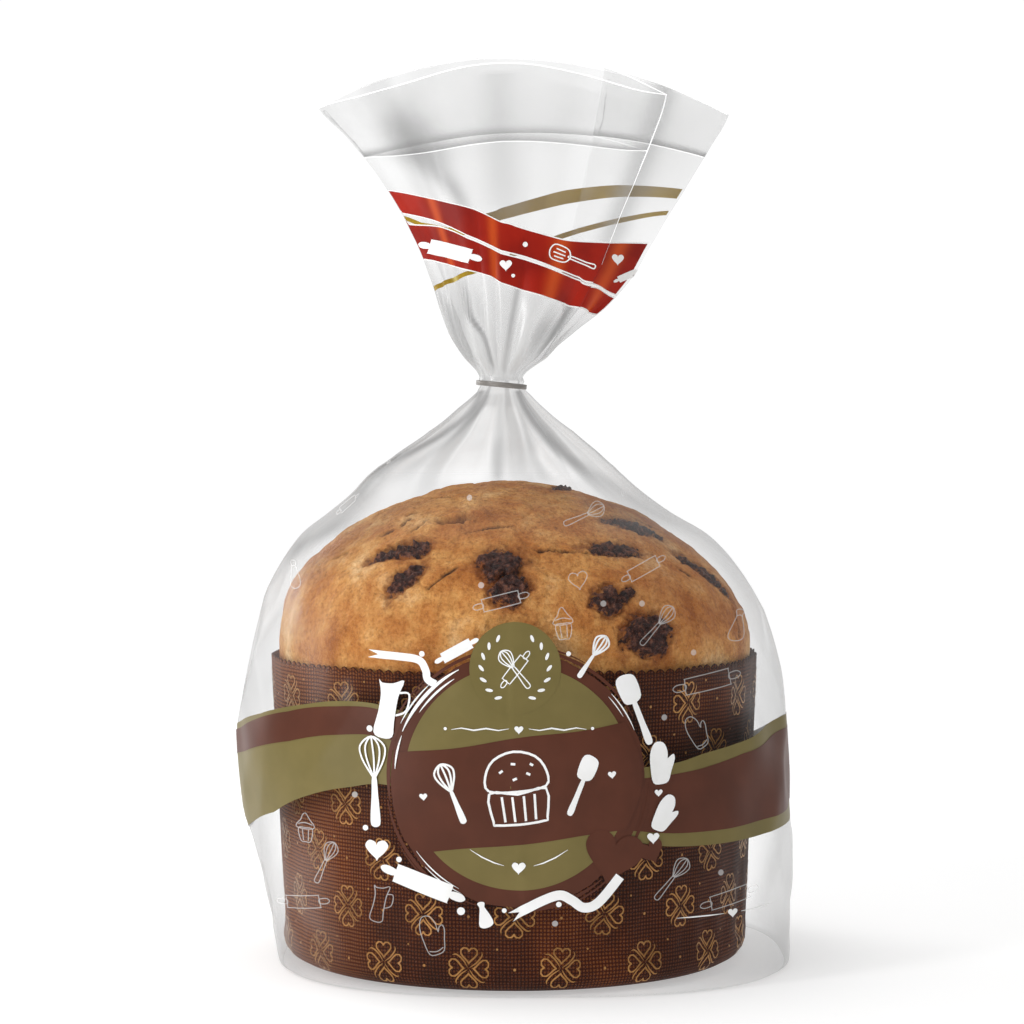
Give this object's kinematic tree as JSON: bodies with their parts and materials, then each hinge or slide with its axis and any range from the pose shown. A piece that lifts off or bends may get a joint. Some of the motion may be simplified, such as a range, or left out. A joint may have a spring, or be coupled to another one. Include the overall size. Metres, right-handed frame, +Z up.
{
  "type": "panettone",
  "caption": "Domed panettone with dark baked-in pieces in a pinked paper baking mould, inside a clear printed film bag gathered and tied above it into a flared mouth",
  "frame": {"origin": "On the floor, under the middle of the bag's outline", "axes": "+Z up through the loaf; the printed front of the bag faces -Y; +X is to the right seen from the front"},
  "size_m": [0.1474, 0.1354, 0.2405],
  "materials": {
    "crust": "matte",
    "mould_paper": "matte",
    "clear_film": "gloss",
    "tie_plastic": "satin"
  },
  "bodies": {
    "root": {"loaf": "crust", "mould_wall": "mould_paper", "mould_base": "mould_paper", "bag_film": "clear_film", "neck_tie": "tie_plastic"}
  },
  "joints": []
}
